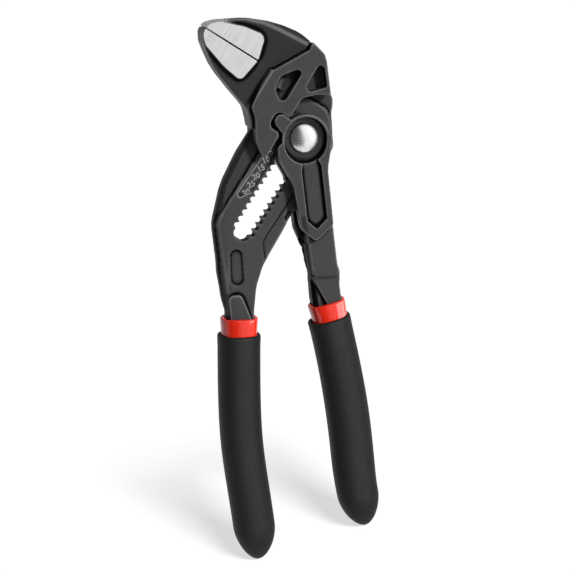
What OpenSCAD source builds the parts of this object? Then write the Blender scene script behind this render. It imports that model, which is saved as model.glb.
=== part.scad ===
// Pliers wrench of the 180 mm class with smooth parallel jaws and a push-button slot lock.
// It stands on its two grips, +Z up, with its front toward -Y.
// Flat outlines are drawn in the jaws' own frame: x runs along the jaw faces from tip to throat,
// y square to them toward the upper jaw, zero on the pivot bolt, and z out of the front.

/* [Stance] */
// Height of the pivot bolt above the floor
bolt_z = 133.5; // [120:0.5:150]
// Sideways place of the pivot bolt from the middle of the tool
bolt_x = 19.79; // [10:0.01:30]
// Lean of the jaws' frame from upright, in degrees
frame_lean = 45.7; // [40:0.1:50]
// Turn of the adjusting slot inside that frame, in degrees
slot_turn = 1; // [0:0.1:1]

/* [Depth levels] */
// Half thickness of the slotted plate
land_half = 2.3; // [2:0.1:3]
// Half thickness of the rails beside the plate
rail_half = 1.7; // [1.2:0.1:2.2]
// Half thickness of both jaws
jaw_half = 4.8; // [4:0.1:6]
// Height of the ground flats over the sides of the jaws
ground_rise = 0.4; // [0.2:0.1:0.8]
// Half thickness over the cheeks of the sliding jaw and the lever
cheek_half = 6.5; // [5.5:0.1:8]
// Gap between a cheek and the plate that it slides on
cheek_gap = 0.15; // [0.1:0.05:0.4]
// Half thickness of the lever's shank under the fork
shank_half = 4.3; // [4:0.1:6]
// Half thickness of the shank's low left side
shank_side_half = 2.4; // [2:0.1:2.4]
// Half thickness of the tongues that run into the grips
tongue_half = 3.6; // [3.2:0.1:4]

/* [Slot and teeth] */
// Distance between two lock positions
pitch = 2.38; // [2.2:0.01:2.4]
// Lock positions below the closed one
steps = 12; // [6:6:12]
// Half width of the slot between tooth tips
tip_half = 2.72; // [2.4:0.02:3.2]
// Depth of the slot's teeth
tooth_depth = 1.15; // [0.8:0.05:1.4]
// Flat left on the tooth tips
tooth_flat = 0.16; // [0.1:0.02:0.4]

/* [Plate] */
// Left edge of the slotted plate, level with the bolt
plate_left = -15.4; // [-18:0.1:-12]
// Right edge of the slotted plate
plate_right = 10.3; // [8:0.1:12]
// Depth of the bare oval panel and the stop notch
panel_depth = 0.4; // [0.2:0.1:0.8]
// Depth of the scale strip
strip_depth = 0.25; // [0.1:0.05:0.5]

/* [Jaws] */
// Line of the jaw faces above the bolt
jaw_line = 12.85; // [11:0.05:15]
// Gap left between the closed jaw faces
jaw_gap = 0.1; // [0.05:0.05:0.3]
// Place of the jaw tips
jaw_tip = -45.3; // [-50:0.1:-40]
// Gap between the sliding jaw and the plate's left edge
guide_gap = 0.15; // [0.1:0.05:0.4]

/* [Lever] */
// Distance of the lever's nose from the bolt, along the jaw faces
nose_x = -9.75; // [-12:0.05:-8]
// Rise of the lever's nose over the bolt
nose_y = 0.65; // [0:0.05:2]
// Radius of the lever's nose
nose_r = 2.15; // [1.8:0.05:2.6]
// Gap between the nose and the top of its notch
nose_gap = 0.15; // [0.1:0.05:0.3]
// Play under the nose in its notch
nose_play = 1.3; // [0.8:0.1:1.6]
// Radius of the lever's round boss
boss_r = 7.75; // [7.5:0.05:7.75]
// Depth of the long panel in the lever
lever_panel = 1.2; // [0.5:0.1:1.6]

/* [Bolt and lock] */
// Depth of the round recess in the lever's front
recess_depth = 3.1; // [2.8:0.05:3.3]
// Radius of the round recess in the lever's front
recess_r = 6.85; // [6.7:0.05:6.95]
// Length that the recess is drawn out toward the long panel
recess_stretch = 1.1; // [0:0.1:1.4]
// Radius of the bolt's head
head_r = 6.55; // [6.3:0.05:6.65]
// Thickness of the bolt's head
head_t = 0.5; // [0.4:0.05:0.7]
// Radius of the bolt's front journal
journal_r = 5.5; // [5.3:0.05:5.6]
// Radius of the rear cap, which is the rear journal
cap_r = 6; // [5.6:0.1:6.4]
// Thickness of the rear cap's floor
cap_t = 1.75; // [1.2:0.05:2]
// Radius of the push button
button_r = 4.7; // [4.4:0.05:4.8]
// Height of the button's dome
dome_rise = 1.5; // [1:0.05:1.8]
// Travel of the push button
button_travel = 1.5; // [1.4:0.1:1.6]
// Thickness of the toothed lock key
key_t = 1.3; // [1:0.1:1.4]
// Radius of the key's stem
stem_r = 1.2; // [1:0.05:1.3]
// Radial gap of the running fits
run_gap = 0.05; // [0.02:0.01:0.1]
// Diameter of the spring wire
wire_d = 0.36; // [0.3:0.02:0.4]
// Turns of the spring
coil_turns = 4; // [3:1:4]
// Mean radius of the spring
coil_r = 1.72; // [1.7:0.02:1.8]

/* [Grips] */
// Half width of the handle tongues inside the grips
tang_w = 4.6; // [4:0.1:4.8]
// Half width of the red sleeve
sleeve_w = 5.8; // [5.6:0.1:5.9]
// Half depth of the red sleeve
sleeve_d = 5.4; // [5:0.1:5.8]
// Half width of the black grip
grip_w = 6.9; // [6.6:0.1:7.5]
// Half depth of the black grip
grip_d = 6.6; // [6.3:0.1:7.5]
// Length of red sleeve that shows above the black grip
collar_h = 5.2; // [3:0.1:8]
// Length of the black grip's round end
grip_round = 13; // [9:0.5:15]
// Gap between layers of a handle
layer_gap = 0.05; // [0.02:0.01:0.1]

/* [Hidden] */
steel_black = "#454545";
bend_step = 20;
past = 1;
root_half = tip_half + tooth_depth;
cheek_in = land_half + cheek_gap;
ground_half = jaw_half + ground_rise;
lower_line = jaw_line - jaw_gap;
first_tip = -steps - 3;
last_tip = 2;

// Depths of the bolt and its lock, front to rear
recess_floor = cheek_half - recess_depth;
head_back = recess_floor + run_gap;
head_front = head_back + head_t;
button_well = 0.85;
well_floor = recess_floor - button_well;
button_back = well_floor + button_travel + run_gap;
rim_t = 0.3;
key_play = 0.14;
key_back = -land_half + 0.1;
key_front = key_back + key_t;
key_room = 0.05;
spring_base = 1;
spring_floor = key_front + spring_base;
spring_room = 0.3;
spring_well_r = coil_r + wire_d / 2 + spring_room;
button_room = 0.07;
block_gap = 0.12;
block_half = tip_half - block_gap;
key_half = pitch - tooth_flat / 2;
post_r = 5;
block_r = 5.2;
post_gap = 0.02;
post_back = -cheek_half + cap_t + key_room;
cap_floor = -cheek_half + cap_t;
cap_lift = 0.2;
cap_front = -land_half - cap_lift;

// Handle centre lines in upright coordinates, as cubic curves from the grip's rim to its end
left_path = [[-14.86, 76.8], [-25.54, 33.82], [-22.11, 40.63], [-26.81, 0.02]];
right_path = [[15.36, 73.6], [14.87, 26.4], [9.89, 22.59], [11.39, 0]];
tang_short = 18;
sleeve_short = 10.5;
root_start = 2;
land_inset = 0.4;
tongue_w = 3.4;

function unit(v) = v / norm(v);
function flat(c) = [c.x, c.y];
function turned(v, a) = [v.x * cos(a) - v.y * sin(a), v.x * sin(a) + v.y * cos(a)];
function reversed(list) = [for (i = [len(list) - 1 : -1 : 0]) list[i]];
function to_frame(q) = turned([q.x - bolt_x, q.y - bolt_z], frame_lean);

// Place on a cubic curve, and the level normal beside it
function curve(p, t) =
    pow(1 - t, 3) * p[0] + 3 * t * pow(1 - t, 2) * p[1] + 3 * t * t * (1 - t) * p[2] + t * t * t * p[3];
function slope(p, t) =
    unit(pow(1 - t, 2) * (p[1] - p[0]) + 2 * t * (1 - t) * (p[2] - p[1]) + t * t * (p[3] - p[2]));
function normal(p, t) = let (s = slope(p, t)) [-s.y, s.x];

// Curve values a length below the grip's rim, and a length above its end
function below_rim(p, length) = length / (3 * norm(p[1] - p[0]));
function above_end(p, length) = 1 - length / (3 * norm(p[3] - p[2]));

// Corners of the band that runs down a handle, right half width, left half width and start given
band_steps = 8;
function band(p, right, left, start) =
    let (t0 = below_rim(p, -collar_h - start), t1 = above_end(p, tang_short))
    [
        for (s = [1, -1], i = [0 : band_steps])
            let (k = s > 0 ? i : band_steps - i, t = t0 + (t1 - t0) * k / band_steps)
            [each to_frame(curve(p, t) + (s > 0 ? right : -left) * normal(p, t)), 0]
    ];

// Left edge of the plate, which guides the sliding jaw along the slot
function guide(y) = plate_left + y * tan(slot_turn);
function jaw_guide(y) = guide(y) - guide_gap / cos(slot_turn);

// Arc that replaces corner b between its neighbours a and c
function bend(a, b, c) =
    b.z == 0 ? [flat(b)] :
    let (
        u = unit(flat(a) - flat(b)),
        v = unit(flat(c) - flat(b)),
        half = acos(u * v) / 2,
        hub = flat(b) + unit(u + v) * b.z / sin(half),
        from = flat(b) + u * b.z / tan(half) - hub,
        sweep = (2 * half - 180) * sign(u.x * v.y - u.y * v.x),
        n = max(1, ceil(abs(sweep) / bend_step))
    )
    [for (k = [0 : n]) hub + turned(from, sweep * k / n)];

function outline(c) =
    let (n = len(c))
    [for (i = [0 : n - 1]) each bend(c[(i + n - 1) % n], c[i], c[(i + 1) % n])];

// Corners are [x, y, radius]
leg_edge = concat(
    [
        [guide(13.3), 13.3, 0.5],
        [-22, 13.3, 0],
        [-18, 25, 0],
        [-13.5, 26.7, 0.5],
        [-8.1, 25.5, 1.5],
        [-6.4, 23.9, 1.5],
        [5.6, 9.3, 6],
        [plate_right, 2.6, 6],
        [plate_right, -22, 30],
        [plate_right + 0.6, -41.5, 8],
        [12.7, -48.4, 10]
    ],
    band(left_path, tang_w, tang_w, root_start),
    [
        [-4, -46.3, 10],
        [-10.4, -38.4, 10],
        [-14.6, -26.2, 14],
        [guide(-15), -15, 12]
    ]
);
land_edge = concat(
    [
        [-9.3, 7.6, 5],
        [-5.4, 11.4, 4],
        [2.8, 11.2, 6],
        [7.2, 6.4, 4],
        [7.2, -18, 10],
        [6.3, -33.6, 3],
        [9.9, -39.2, 1],
        [12.1, -48, 10]
    ],
    band(left_path, tang_w - land_inset, tang_w - land_inset, root_start),
    [
        [-2.4, -46.3, 14],
        [-9.9, -37.2, 4],
        [-9.5, -14, 20]
    ]
);
arch_edge = concat(
    [[9.4, -53, 1.6]],
    band(left_path, tongue_w, tongue_w, 0),
    [[6.1, -55.2, 1.6]]
);
upper_jaw_edge = [
    [jaw_tip, jaw_line, 0.3],
    [jaw_tip + 0.5, 14.5, 1.2],
    [-42.6, 16.8, 3],
    [-35, 22.2, 14],
    [-26.5, 25.9, 14],
    [-19, 27.1, 8],
    [-14.6, 26.55, 0.2],
    [-14.6, 24, 0.5],
    [-20.5, 13.8, 0.8],
    [-21.6, jaw_line, 0.3]
];
upper_ground_edge = [
    [-45, jaw_line + 0.05, 0.2],
    [-44.6, 14.4, 1],
    [-42.3, 16.4, 3],
    [-35.2, 19.3, 12],
    [-28, 20.6, 1.8],
    [-26, jaw_line + 0.05, 0.2]
];
lower_jaw_edge = [
    [jaw_tip, lower_line, 0.3],
    [jaw_tip + 0.3, 11, 1],
    [-43.2, 8.8, 2],
    [-35.3, 3.6, 16],
    [-26.9, 0.5, 14],
    [-20.8, -1.5, 5],
    [jaw_guide(-7), -7, 0.5],
    [jaw_guide(lower_line), lower_line, 0.3]
];
lower_ground_edge = [
    [-45, lower_line - 0.05, 0.2],
    [-44.5, 10.9, 1],
    [-42.4, 8.8, 3],
    [-34, 6.1, 12],
    [-27.4, 4.9, 1.4],
    [-26, lower_line - 0.05, 0.2]
];
cheek_edge = [
    [-22, lower_line, 0.5],
    [-20.4, lower_line, 0.8],
    [-13.9, 24, 0.6],
    [-14.25, 26.75, 0.3],
    [-9, 25.5, 1.5],
    [-7.2, 24, 1.5],
    [-0.2, 15.6, 0.5],
    [-4.5, 13.5, 4],
    [-7.9, 10.1, 2],
    [-7.95, 6, 1],
    [-7.9, -10.9, 0.4],
    [-8.9, -12, 0.6],
    [-13.4, -9.1, 4],
    [-17.4, -2.9, 6],
    [-20.4, -0.4, 2]
];
notch_top = nose_y + nose_r + nose_gap;
notch_low = nose_y - nose_r - nose_play;
notch_end = nose_x - nose_r - 0.7;
notch_mouth = nose_x + 0.9;
notch_flare = 1.6;
notch_edge = [
    [notch_end, notch_top, 2],
    [notch_end, notch_low, 2],
    [notch_mouth, notch_low, 0],
    [notch_mouth + notch_flare, notch_low - notch_flare, 0],
    [notch_mouth + notch_flare, notch_top + notch_flare, 0],
    [notch_mouth, notch_top, 0]
];
window_dip = 0.1;
window_edges = [
    [
        [-17.3, 12.6, 1.6],
        [-14, 17, 1.4],
        [-12.1, 17, 1],
        [-12.1, 6.4, 1.4],
        [-14.1, 6, 1],
        [-17.2, 8.5, 1.6]
    ],
    [
        [-8.8, 22.1, 1],
        [-6.8, 21.8, 0.9],
        [-2.8, 17.2, 0.9],
        [-6.9, 12.9, 0.8],
        [-8.8, 13.9, 0.9]
    ]
];
lever_neck_edge = [
    [nose_x, nose_y + nose_r, 0],
    [-7.2, 2.4, 1.5],
    [-5.2, 5, 0],
    [0, 0, 0],
    [-5, -5, 0],
    [-6.6, -2.8, 0.8],
    [nose_x - 0.6, nose_y - nose_r + 0.1, 0]
];
lever_arm_edge = [
    [-5.6, -3.4, 0],
    [-6.4, -6.9, 2],
    [-4.6, -9.6, 2.5],
    [4, -14.2, 8],
    [14.4, -25.2, 4],
    [20.6, -26.1, 1.2],
    [22.5, -18.5, 0.8],
    [11.2, -4.2, 8],
    [9.2, 0.6, 5],
    [6.4, 5.8, 0]
];
lever_panel_edge = [
    [4.4, -9.4, 0],
    [14.6, -21.9, 0.6],
    [18.6, -22.5, 0.5],
    [19.6, -17.9, 0.6],
    [8.8, -4.6, 0],
    [0, 0, 0]
];
panel_way = -60;
fork_room_edge = [
    [-20, 20, 0],
    [13.2, 20, 0],
    [13.2, -15.4, 3],
    [15.6, -21.8, 3],
    [20, -28.8, 0],
    [-20, -28.8, 0]
];
shank_side_edge = concat(
    [[22.4, -18.6, 0]],
    band(right_path, tang_w, tang_w, root_start),
    [
        [26.3, -36.3, 14],
        [20.5, -29.8, 14],
        [14.8, -24.4, 3],
        [13, -18, 0]
    ]
);
shank_face_edge = [
    [15.6, -20, 0],
    [17.9, -26, 2],
    [26.6, -36.1, 0.6],
    [33.8, -31.8, 0.6],
    [22.7, -18.2, 0]
];
shank_tongue_edge = concat(
    [[33.1, -31.2, 0]],
    band(right_path, tang_w - layer_gap, 0.6, 0),
    [[26.6, -36.6, 0]]
);
oval_panel = [[1.5, -43.1], [6, -49.3]];
oval_r = 2.2;
strip_edge = [
    [-7.2, 6, 0],
    [-4.6, 6, 0],
    [-4.6, -22.4, 0],
    [-7.3, -26.6, 0.8],
    [-8.9, -26, 0.8],
    [-8, -12.6, 0]
];
stop_edge = [[8.5, -22.3, 0.3], [8.5, -24.9, 0.3], [11.5, -26.8, 0], [11.5, -20.4, 0]];

// Slot with the same V teeth and round roots on both sides, in its own turned frame
root_round = 0.3;
root_flank = 0.56;
function slot_side(s) = [
    for (k = [first_tip : last_tip]) each [
        [s * tip_half, k * pitch - tooth_flat / 2],
        [s * tip_half, k * pitch + tooth_flat / 2],
        [s * (root_half - root_round), (k + 0.5) * pitch - root_flank],
        [s * root_half, (k + 0.5) * pitch - root_round],
        [s * root_half, (k + 0.5) * pitch + root_round],
        [s * (root_half - root_round), (k + 0.5) * pitch + root_flank]
    ]
];
slot_low = first_tip * pitch;
slot_high = (last_tip + 1) * pitch;
slot_edge = concat(
    [[-tip_half, slot_low - 1.2], [-1.7, slot_low - 2.4]],
    [[1.7, slot_low - 2.4], [tip_half, slot_low - 1.2]],
    slot_side(1),
    [[tip_half, slot_high], [-tip_half, slot_high]],
    reversed(slot_side(-1))
);

// Key with two teeth on each side that fill the slot's gaps less a little play
key_reach = root_half - 0.3;
gap_slope = (pitch / 2 - tooth_flat / 2 - root_flank) / (tooth_depth - root_round);
function gap_half(x) = (pitch - tooth_flat) / 2 - (x - tip_half) * gap_slope - key_play;
function key_side(s) = [
    for (k = [-0.5, 0.5]) each [
        [s * block_half, k * pitch - gap_half(block_half)],
        [s * key_reach, k * pitch - gap_half(key_reach)],
        [s * key_reach, k * pitch + gap_half(key_reach)],
        [s * block_half, k * pitch + gap_half(block_half)]
    ]
];
key_edge = concat(key_side(1), reversed(key_side(-1)));

// Stations down a handle layer as [curve value, scale]: a soft lip, a plain run and a round end
body_rings = 8;
lip_length = 1;
function stations(p, top, end, lip, round_length) =
    let (
        body = top + below_rim(p, lip_length),
        turn = 1 - above_end(p, round_length),
        last = end - turn
    )
    concat(
        [[top, lip], [top + below_rim(p, lip_length / 3), (2 + lip) / 3]],
        [for (i = [0 : body_rings]) [body + (last - body) * i / body_rings, 1]],
        [for (a = [25, 45, 62, 76, 86]) [last + turn * sin(a), cos(a)]]
    );

// Rounded ring of a handle layer at t, half width w and half depth d
sides = 24;
function power(x, n) = sign(x) * pow(abs(x), 2 / n);
function oval_ring(p, t, w, d, n) = [
    for (i = [0 : sides - 1])
        let (
            a = 45 + 360 * i / sides,
            c = curve(p, t) + w * power(cos(a), n) * normal(p, t)
        )
        [c.x, d * power(sin(a), n), c.y]
];

// Square ring that clears the tongue
function box_ring(p, t, w, d) = [
    for (i = [0 : sides - 1])
        let (
            q = sides / 4,
            s = floor(i / q),
            f = 1 - 2 * (i % q) / q,
            m = [[f, 1], [-1, f], [-f, -1], [1, -f]][s],
            c = curve(p, t) + w * m.x * normal(p, t)
        )
        [c.x, d * m.y, c.y]
];

// Skin between an outer and an inner stack of rings, open at the first ring
function ring_middle(r) = (r[0] + r[sides / 2]) / 2;
module skin(outer, inner) {
    n = len(outer);
    m = len(inner);
    start = n * sides;
    tip = start + m * sides;
    function at(r, i) = r * sides + i % sides;
    function inside(r, i) = start + at(r, i);
    function wall(a, b, c, d) = [[a, c, b], [b, c, d]];
    polyhedron(
        points = concat(
            [for (r = outer) each r],
            [for (r = inner) each r],
            [ring_middle(outer[n - 1]), ring_middle(inner[m - 1])]
        ),
        faces = concat(
            [for (r = [0 : n - 2], i = [0 : sides - 1])
                each wall(at(r, i), at(r + 1, i), at(r, i + 1), at(r + 1, i + 1))],
            [for (r = [0 : m - 2], i = [0 : sides - 1])
                each wall(inside(r, i), inside(r, i + 1), inside(r + 1, i), inside(r + 1, i + 1))],
            [for (i = [0 : sides - 1])
                each wall(at(0, i), at(0, i + 1), inside(0, i), inside(0, i + 1))],
            [for (i = [0 : sides - 1]) [at(n - 1, i), at(n - 1, i + 1), tip]],
            [for (i = [0 : sides - 1]) [inside(m - 1, i + 1), inside(m - 1, i), tip + 1]]
        )
    );
}

// Flat work in the jaws' frame, and work that is turned along the slot
module placed() {
    translate([bolt_x, 0, bolt_z]) rotate([0, frame_lean, 0]) rotate([90, 0, 0]) children();
}
module along_slot() {
    rotate(-slot_turn) children();
}
module slab(edge, low, high) {
    translate([0, 0, low]) linear_extrude(high - low) polygon(outline(edge));
}
module both_faces(low, high) {
    for (side = [0, 1]) mirror([0, 0, side]) translate([0, 0, low]) linear_extrude(high - low) children();
}

module fixed_jaw_leg() {
    color(steel_black) placed() difference() {
        union() {
            slab(leg_edge, -rail_half, rail_half);
            slab(land_edge, -land_half, land_half);
            slab(arch_edge, -tongue_half, tongue_half);
            slab(upper_jaw_edge, -jaw_half, jaw_half);
            slab(upper_ground_edge, -ground_half, ground_half);
        }
        along_slot() translate([0, 0, -cheek_half]) linear_extrude(2 * cheek_half) polygon(slot_edge);
        both_faces(land_half - panel_depth, cheek_half) hull()
            for (c = oval_panel) translate(c) circle(oval_r, $fn = 32);
        slab(strip_edge, land_half - strip_depth, cheek_half);
        both_faces(rail_half - panel_depth, cheek_half) polygon(outline(stop_edge));
    }
}

module sliding_jaw() {
    color(steel_black) placed() difference() {
        union() {
            slab(lower_jaw_edge, -jaw_half, jaw_half);
            slab(lower_ground_edge, -ground_half, ground_half);
            both_faces(cheek_in, cheek_half) polygon(outline(cheek_edge));
        }
        slab(notch_edge, -cheek_half - past, cheek_half + past);
        both_faces(cheek_in - window_dip, cheek_half + past) for (w = window_edges) polygon(outline(w));
    }
}

module lever_leg() {
    color(steel_black) placed() difference() {
        union() {
            slab(lever_arm_edge, -cheek_half, cheek_half);
            slab(lever_neck_edge, -cheek_half, cheek_half);
            translate([nose_x, nose_y, -cheek_half]) cylinder(2 * cheek_half, r = nose_r, $fn = 48);
            translate([0, 0, -cheek_half]) cylinder(2 * cheek_half, r = boss_r, $fn = 64);
            slab(shank_side_edge, -shank_side_half, shank_side_half);
            slab(shank_face_edge, -shank_half, shank_half);
            slab(shank_tongue_edge, -tongue_half, tongue_half);
        }
        slab(fork_room_edge, -cheek_in, cheek_in);
        both_faces(cheek_half - lever_panel, cheek_half + past) polygon(outline(lever_panel_edge));
        translate([0, 0, recess_floor]) rotate(panel_way) {
            for (reach = [0, recess_stretch])
                translate([reach, 0, 0]) cylinder(cheek_half, r = recess_r, $fn = 64);
            translate([0, -recess_r, 0]) cube([recess_stretch, 2 * recess_r, cheek_half]);
        }
        cylinder(cheek_half, r = journal_r + run_gap, $fn = 64);
        translate([0, 0, -cheek_half - past]) cylinder(cheek_half, r = cap_r + run_gap, $fn = 64);
    }
}

// Round rod between two depths with two flats that run along the slot
module flatted_rod(low, high, r) {
    intersection() {
        translate([0, 0, low]) cylinder(high - low, r = r, $fn = 64);
        translate([-block_half, -2 * r, low - past]) cube([2 * block_half, 4 * r, high - low + 2 * past]);
    }
}

module pivot_bolt() {
    slot_width = 2 * (key_half + key_room);
    color("#3a3a3a") placed() along_slot() difference() {
        union() {
            translate([0, 0, head_back]) cylinder(head_t, r = head_r, $fn = 64);
            translate([0, 0, cheek_in]) cylinder(head_front - cheek_in, r = journal_r, $fn = 64);
            flatted_rod(post_back / 2, cheek_in + past / 2, block_r);
            flatted_rod(post_back, 0, post_r);
        }
        translate([0, 0, well_floor]) cylinder(cheek_half, r = button_r + button_room, $fn = 64);
        translate([0, 0, spring_floor]) cylinder(cheek_half, r = spring_well_r, $fn = 48);
        translate([0, 0, -cheek_half]) cylinder(2 * cheek_half, r = stem_r + run_gap, $fn = 32);
        translate([-cheek_half, -slot_width / 2, -2 * cheek_half])
            cube([2 * cheek_half, slot_width, 2 * cheek_half + key_front + key_room]);
    }
}

module rear_cap() {
    color("#3a3a3a") placed() difference() {
        translate([0, 0, -cheek_half]) cylinder(cheek_half + cap_front, r = cap_r, $fn = 64);
        translate([0, 0, cap_floor]) cylinder(cheek_half, r = post_r + post_gap, $fn = 64);
    }
}

// The stem is pressed into the button
stem_in = 0.7;
module lock_key() {
    color("#8f8f8f") placed() along_slot() {
        translate([0, 0, key_back]) linear_extrude(key_t) polygon(key_edge);
        translate([0, 0, key_back]) cylinder(button_back + stem_in - key_back, r = stem_r, $fn = 32);
    }
}

module push_button() {
    dome_r = (button_r * button_r + dome_rise * dome_rise) / (2 * dome_rise);
    rim_top = button_back + rim_t;
    color("#d8d8d8") placed() difference() {
        union() {
            translate([0, 0, button_back]) cylinder(rim_t, r = button_r, $fn = 64);
            intersection() {
                translate([0, 0, rim_top + dome_rise - dome_r]) sphere(dome_r, $fn = 96);
                translate([0, 0, button_back + rim_t / 2]) cylinder(2 * dome_rise, r = button_r, $fn = 64);
            }
        }
        translate([0, 0, button_back - past])
            cylinder(past + stem_in + run_gap, r = stem_r + run_gap, $fn = 32);
    }
}

spring_seat = 0.02;
module button_spring() {
    low = spring_floor + wire_d / 2 + spring_seat;
    high = button_back - wire_d / 2 - spring_seat;
    rise = (high - low) / coil_turns;
    rings = coil_turns * 8;
    lean = atan2(rise, 2 * PI * coil_r);
    echo(spring_self_gap = rise * cos(lean) - wire_d);
    points = [
        for (k = [0 : rings], i = [0 : 5])
            let (a = 45 * k, b = 60 * i, r = coil_r + wire_d / 2 * cos(b), s = wire_d / 2 * sin(b))
            [
                r * cos(a) + s * sin(lean) * sin(a),
                r * sin(a) - s * sin(lean) * cos(a),
                low + rise * k / 8 + s * cos(lean)
            ]
    ];
    color("#b5b5b5") placed() polyhedron(
        points = points,
        faces = concat(
            [for (k = [0 : rings - 1], i = [0 : 5])
                let (a = 6 * k + i, b = 6 * k + (i + 1) % 6)
                each [[a, b, a + 6], [b, b + 6, a + 6]]],
            [[for (i = [5 : -1 : 0]) i]],
            [[for (i = [0 : 5]) 6 * rings + i]]
        )
    );
}

// Red under-layer: a sleeve from the collar to just short of the black grip's end
sleeve_square = 3;
sleeve_lip = 0.97;
sleeve_round = 4;
module red_sleeve(path) {
    top = below_rim(path, -collar_h);
    box_end = above_end(path, tang_short - 2 * layer_gap);
    box_w = tang_w + layer_gap;
    box_d = tongue_half + layer_gap;
    color("#e03020") skin(
        [for (s = stations(path, top, above_end(path, sleeve_short), sleeve_lip, sleeve_round))
            oval_ring(path, s[0], sleeve_w * s[1], sleeve_d * s[1], sleeve_square)],
        [for (i = [0 : body_rings])
            box_ring(path, top + (box_end - top) * i / body_rings, box_w, box_d)]
    );
}

// Black outer layer
grip_square = 2.4;
grip_lip = 0.955;
module black_grip(path) {
    bore_end = above_end(path, sleeve_short - 2 * layer_gap);
    bore_w = sleeve_w + layer_gap;
    bore_d = sleeve_d + layer_gap;
    color("#2b2b2b") skin(
        [for (s = stations(path, 0, 1, grip_lip, grip_round))
            oval_ring(path, s[0], grip_w * s[1], grip_d * s[1], grip_square)],
        [for (i = [0 : body_rings])
            oval_ring(path, bore_end * i / body_rings, bore_w, bore_d, sleeve_square)]
    );
}

module red_sleeve_left() {
    red_sleeve(left_path);
}

module red_sleeve_right() {
    red_sleeve(right_path);
}

module black_grip_left() {
    black_grip(left_path);
}

module black_grip_right() {
    black_grip(right_path);
}

fixed_jaw_leg();
sliding_jaw();
lever_leg();
pivot_bolt();
rear_cap();
lock_key();
push_button();
button_spring();
red_sleeve_left();
red_sleeve_right();
black_grip_left();
black_grip_right();
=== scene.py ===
import math

import bmesh
import bpy
import numpy as np
from mathutils import Matrix, Vector


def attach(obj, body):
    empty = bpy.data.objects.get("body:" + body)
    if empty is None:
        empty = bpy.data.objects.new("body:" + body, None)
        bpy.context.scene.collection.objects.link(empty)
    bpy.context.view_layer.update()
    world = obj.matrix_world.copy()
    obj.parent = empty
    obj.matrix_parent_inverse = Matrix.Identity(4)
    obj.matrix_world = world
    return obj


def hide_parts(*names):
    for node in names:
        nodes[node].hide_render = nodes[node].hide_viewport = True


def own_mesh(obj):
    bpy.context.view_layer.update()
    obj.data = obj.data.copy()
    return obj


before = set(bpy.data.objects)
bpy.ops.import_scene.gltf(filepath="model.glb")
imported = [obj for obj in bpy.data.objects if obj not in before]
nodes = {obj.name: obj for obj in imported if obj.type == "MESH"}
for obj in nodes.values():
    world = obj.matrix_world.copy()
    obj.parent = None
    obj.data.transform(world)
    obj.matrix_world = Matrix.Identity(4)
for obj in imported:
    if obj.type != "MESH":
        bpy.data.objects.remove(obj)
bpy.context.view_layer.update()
mm = 0.001

# The jaws lean inside the upright tool. Outlines are given in that leaning plane, from the bolt's axis:
# along the jaw faces, across them, and depth toward the button's side
stance = {"boltX": 19.79, "boltZ": 133.5, "lean": math.radians(45.7), "jawLine": 12.8}
leanCos, leanSin = math.cos(stance["lean"]), math.sin(stance["lean"])
levels = {"strip": 2.05, "plate": 2.3, "jaw": 4.8, "ground": 5.2}  # distances from the middle plane


def toJaw(points):
    dx, dz = points[:, 0] / mm - stance["boltX"], points[:, 2] / mm - stance["boltZ"]
    return dx * leanCos - dz * leanSin, dx * leanSin + dz * leanCos, -points[:, 1] / mm


def fromJaw(along, across, depth):
    along, across, depth = np.broadcast_arrays(along, across, depth)
    x = stance["boltX"] + along * leanCos + across * leanSin
    z = stance["boltZ"] - along * leanSin + across * leanCos
    return np.stack([x, -depth, z], -1) * mm


# Camera, solved from the photo's outlines
cameraPlan = {
    "target": Vector((4.24, 0.0, 86.77)) * mm, "away": 560 * mm, "lens": 108.4, "sensor": 36.0,
    "clip": (0.01, 50.0), "forward": Vector((0.1716, 0.9493, -0.2633)),
    "up": Vector((0.2754, 0.2105, 0.9380)),
}
forward = cameraPlan["forward"].normalized()
right = forward.cross(cameraPlan["up"]).normalized()
up = right.cross(forward)
camera = bpy.data.objects.new("camera", bpy.data.cameras.new("camera"))
bpy.context.scene.collection.objects.link(camera)
camera.data.sensor_width, camera.data.lens = cameraPlan["sensor"], cameraPlan["lens"]
camera.data.clip_start, camera.data.clip_end = cameraPlan["clip"]
camera.matrix_world = Matrix.Translation(cameraPlan["target"] - cameraPlan["away"] * forward) @ (
    Matrix((right, up, -forward)).transposed().to_4x4())
bpy.context.scene.camera = camera
bpy.context.scene.view_settings.view_transform = "Standard"
print("camera set")


# Materials
def linear(code):
    # linear light from an sRGB colour code
    parts = [int(code[i:i + 2], 16) / 255 for i in (1, 3, 5)]
    return [c / 12.92 if c <= 0.04045 else ((c + 0.055) / 1.055) ** 2.4 for c in parts] + [1.0]


def grey(value):
    return [value, value, value, 1.0]


def perMm(size):
    return 1 / (size * mm)  # texture scale that gives features of this size in millimetres


def addNode(tree, kind, links=None, inputs=None, **settings):
    node = tree.nodes.new(kind)
    for key, value in settings.items():
        setattr(node, key, value)
    for key, value in (inputs or {}).items():
        node.inputs[key].default_value = value
    for key, source in (links or {}).items():
        tree.links.new(source, node.inputs[key])
    return node


def newMaterial(name, **values):
    material = bpy.data.materials.new(name)
    material.use_nodes = True
    tree = material.node_tree
    tree.nodes.clear()
    shader = addNode(tree, "ShaderNodeBsdfPrincipled", inputs=values)
    addNode(tree, "ShaderNodeOutputMaterial", {"Surface": shader.outputs[0]})
    place = addNode(tree, "ShaderNodeTexCoord").outputs["Object"]
    return material, tree, shader, place


# A colour Mix node has these sockets for its share, its two colours and its result
mixShare, mixFrom, mixTo, mixed = 0, 6, 7, 2


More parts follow.
